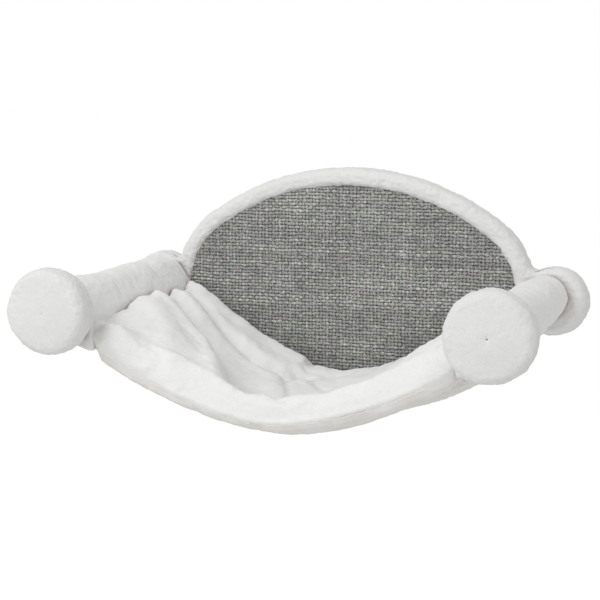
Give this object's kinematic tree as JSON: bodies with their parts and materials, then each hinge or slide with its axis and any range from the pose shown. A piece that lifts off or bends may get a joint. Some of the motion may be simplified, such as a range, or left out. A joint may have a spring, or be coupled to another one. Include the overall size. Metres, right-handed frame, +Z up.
{
  "type": "wall-mounted cat hammock",
  "caption": "Oval plush-edged wall board with a woven sisal scratching face, two plush arms with padded end discs, and a padded plush mat hung between them.",
  "frame": {"origin": "middle of the board's back, in the plane of the wall", "axes": "+X to the right as seen from the room, +Y into the wall, +Z up"},
  "size_m": [0.54, 0.32, 0.2798],
  "materials": {
    "white_plush": "short dense pile, white",
    "underside_cloth": "plain woven cotton, off-white",
    "sisal_weave": "plain-woven dyed sisal, grey",
    "foam": "open-cell upholstery foam",
    "plywood": "birch plywood, sanded",
    "hardboard": "hardboard, smooth face",
    "beech": "beech, turned and sanded",
    "galvanised_steel": "zinc plated",
    "zinc_alloy": "die-cast zinc alloy"
  },
  "bodies": {
    "wall_board": {"back_panel": "plywood", "sisal_backer": "hardboard", "sisal_mat": "sisal_weave", "border_padding": "foam", "border_plush": "white_plush", "staples": "galvanised_steel", "left_keyhole_plate": "galvanised_steel", "right_keyhole_plate": "galvanised_steel", "plate_screws": "galvanised_steel", "left_arm_rod": "beech", "left_rear_insert": "zinc_alloy", "left_arm_bolt": "galvanised_steel", "left_bolt_washer": "galvanised_steel", "left_front_insert": "zinc_alloy", "right_arm_rod": "beech", "right_rear_insert": "zinc_alloy", "right_arm_bolt": "galvanised_steel", "right_bolt_washer": "galvanised_steel", "right_front_insert": "zinc_alloy"},
    "hammock": {"hammock_mat": "white_plush", "mat_underside": "underside_cloth", "left_sleeve": "white_plush", "right_sleeve": "white_plush"},
    "left_end_disc": {"left_disc_cover": "white_plush", "left_disc_padding": "foam", "left_disc_core": "beech", "left_disc_washer": "galvanised_steel"},
    "left_disc_bolt": {"left_disc_bolt": "galvanised_steel"},
    "right_end_disc": {"right_disc_cover": "white_plush", "right_disc_padding": "foam", "right_disc_core": "beech", "right_disc_washer": "galvanised_steel"},
    "right_disc_bolt": {"right_disc_bolt": "galvanised_steel"}
  },
  "joints": [
    {"name": "left_disc_back_off", "type": "slide", "parent": "wall_board", "child": "left_end_disc", "axis": [0, -1, 0], "range_m": [0, 0.012]},
    {"name": "left_bolt_turn", "type": "hinge", "parent": "left_end_disc", "child": "left_disc_bolt", "pos_m": [-0.226, -0.31, 0.006], "axis": [0, -1, 0], "range_deg": [0, 4320]},
    {"name": "right_disc_back_off", "type": "slide", "parent": "wall_board", "child": "right_end_disc", "axis": [0, -1, 0], "range_m": [0, 0.012]},
    {"name": "right_bolt_turn", "type": "hinge", "parent": "right_end_disc", "child": "right_disc_bolt", "pos_m": [0.226, -0.31, 0.006], "axis": [0, -1, 0], "range_deg": [0, 4320]},
    {"name": "hammock_slide", "type": "slide", "parent": "wall_board", "child": "hammock", "axis": [0, 1, 0], "range_m": [-0.0025, 0.0025]}
  ],
  "couplings": [
    {"joint": "left_bolt_turn", "follows": "left_disc_back_off", "rad_per_m": 6283.2},
    {"joint": "right_bolt_turn", "follows": "right_disc_back_off", "rad_per_m": 6283.2}
  ]
}
